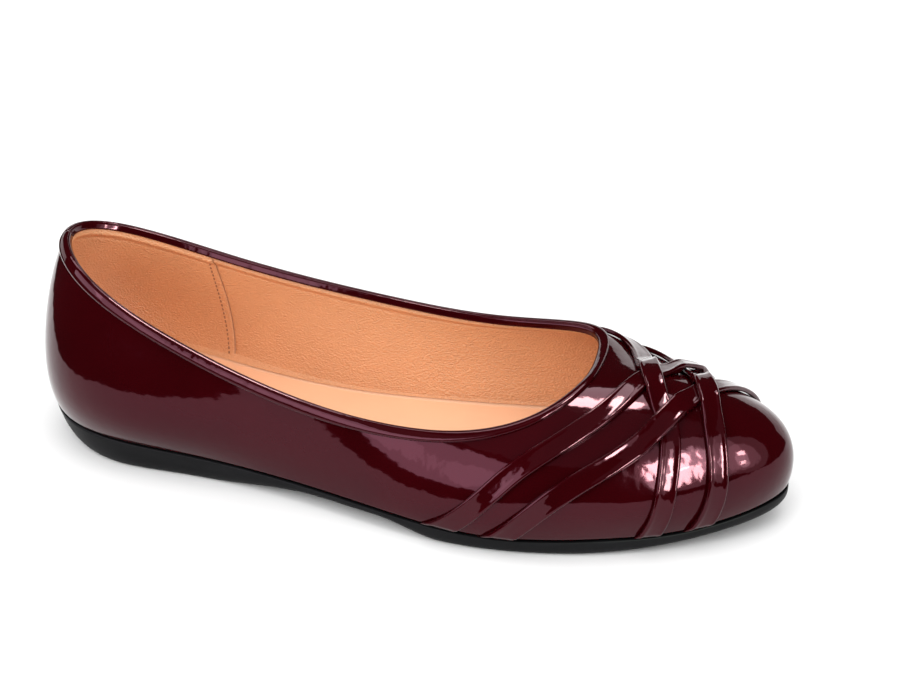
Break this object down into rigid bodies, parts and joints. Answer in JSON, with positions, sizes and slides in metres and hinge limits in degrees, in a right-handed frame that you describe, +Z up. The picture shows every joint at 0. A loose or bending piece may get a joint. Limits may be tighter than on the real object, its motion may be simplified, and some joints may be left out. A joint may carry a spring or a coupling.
{
  "type": "ballet flat",
  "caption": "Women's ballet flat for the right foot: glossy low-cut upper with bound topline and woven straps over the vamp, on a thin moulded sole.",
  "frame": {"origin": "on the floor, under the middle of the shoe's box", "axes": "+X from the heel to the toe, +Z up, -Y the outer side of the right foot"},
  "size_m": [0.2436, 0.0846, 0.0663],
  "materials": {
    "patent_upper": "burgundy patent, high gloss",
    "patent_trim": "burgundy patent, high gloss",
    "sock_lining": "cream tan, satin",
    "sole_rubber": "black, satin"
  },
  "bodies": {
    "root": {"outsole": "sole_rubber", "insole": "sock_lining", "upper": "patent_upper", "topline_binding": "patent_trim", "strap_outer_rear": "patent_trim", "strap_outer_front": "patent_trim", "strap_inner_rear": "patent_trim", "strap_inner_front": "patent_trim"}
  },
  "joints": []
}
